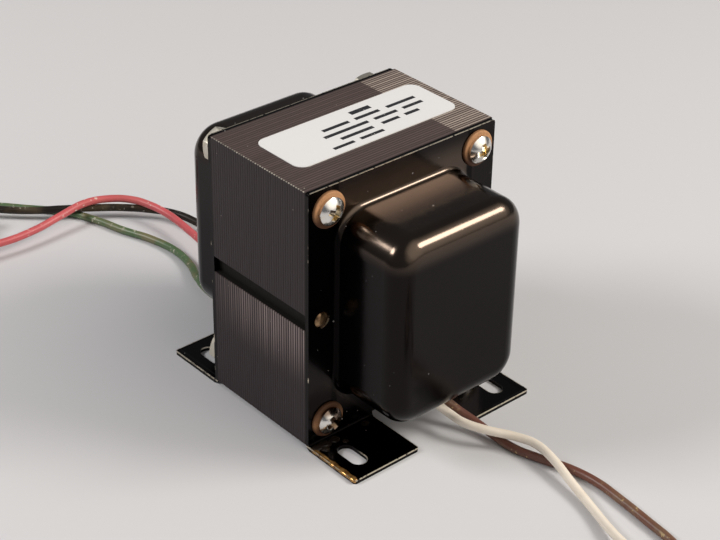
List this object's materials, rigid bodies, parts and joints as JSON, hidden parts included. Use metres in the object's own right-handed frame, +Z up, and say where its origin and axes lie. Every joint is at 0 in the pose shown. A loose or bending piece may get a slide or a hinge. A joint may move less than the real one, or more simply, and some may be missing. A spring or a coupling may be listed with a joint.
{
  "type": "audio transformer",
  "caption": "Audio transformer with an EI core that stands on end between two black drawn end bells with slotted feet, and free leads at both ends.",
  "frame": {"origin": "on the surface that the feet stand on, under the middle of the core", "axes": "+X along the lamination stack, out of the bell with the screw heads; +Y towards the I bar, away from the notched back of the E; +Z up from the feet"},
  "size_m": [0.2844, 0.0991, 0.0777],
  "materials": {
    "core_steel": "satin black-brown varnish over stacked sheet edges",
    "insulating_paper": "matt kraft paper",
    "copper_wire": "enamelled copper",
    "black_enamel": "high-gloss black enamel, bare at the sheared edges",
    "zinc_steel": "bright zinc plate",
    "fibre": "brown vulcanised fibre",
    "label_film": "white film with plain dark print",
    "grommet_rubber": "matt black",
    "white_sleeve": "satin",
    "brown_sleeve": "satin",
    "red_sleeve": "satin",
    "black_sleeve": "satin",
    "green_sleeve": "satin",
    "tie_nylon": "natural",
    "tinned_copper": "tinned strands"
  },
  "bodies": {
    "root": {"e_laminations": "core_steel", "i_laminations": "core_steel", "coil_former": "insulating_paper", "inner_primary": "copper_wire", "inner_insulation": "insulating_paper", "secondary": "copper_wire", "outer_insulation": "insulating_paper", "outer_primary": "copper_wire", "outer_wrap": "insulating_paper", "front_bell": "black_enamel", "rear_bell": "black_enamel", "clamp_screws": "zinc_steel", "screw_sleeves": "fibre", "front_fibre_washers": "fibre", "rear_fibre_washers": "fibre", "lock_washers": "zinc_steel", "clamp_nuts": "zinc_steel", "label": "label_film", "front_grommet": "grommet_rubber", "rear_grommet": "grommet_rubber", "white_lead": "white_sleeve", "brown_lead": "brown_sleeve", "red_lead": "red_sleeve", "black_lead": "black_sleeve", "green_lead": "green_sleeve", "front_lead_coil": "white_sleeve", "rear_lead_coil": "red_sleeve", "front_coil_tie": "tie_nylon", "rear_coil_tie": "tie_nylon", "white_tip": "tinned_copper", "brown_tip": "tinned_copper", "red_tip": "tinned_copper", "black_tip": "tinned_copper", "green_tip": "tinned_copper"}
  },
  "joints": []
}
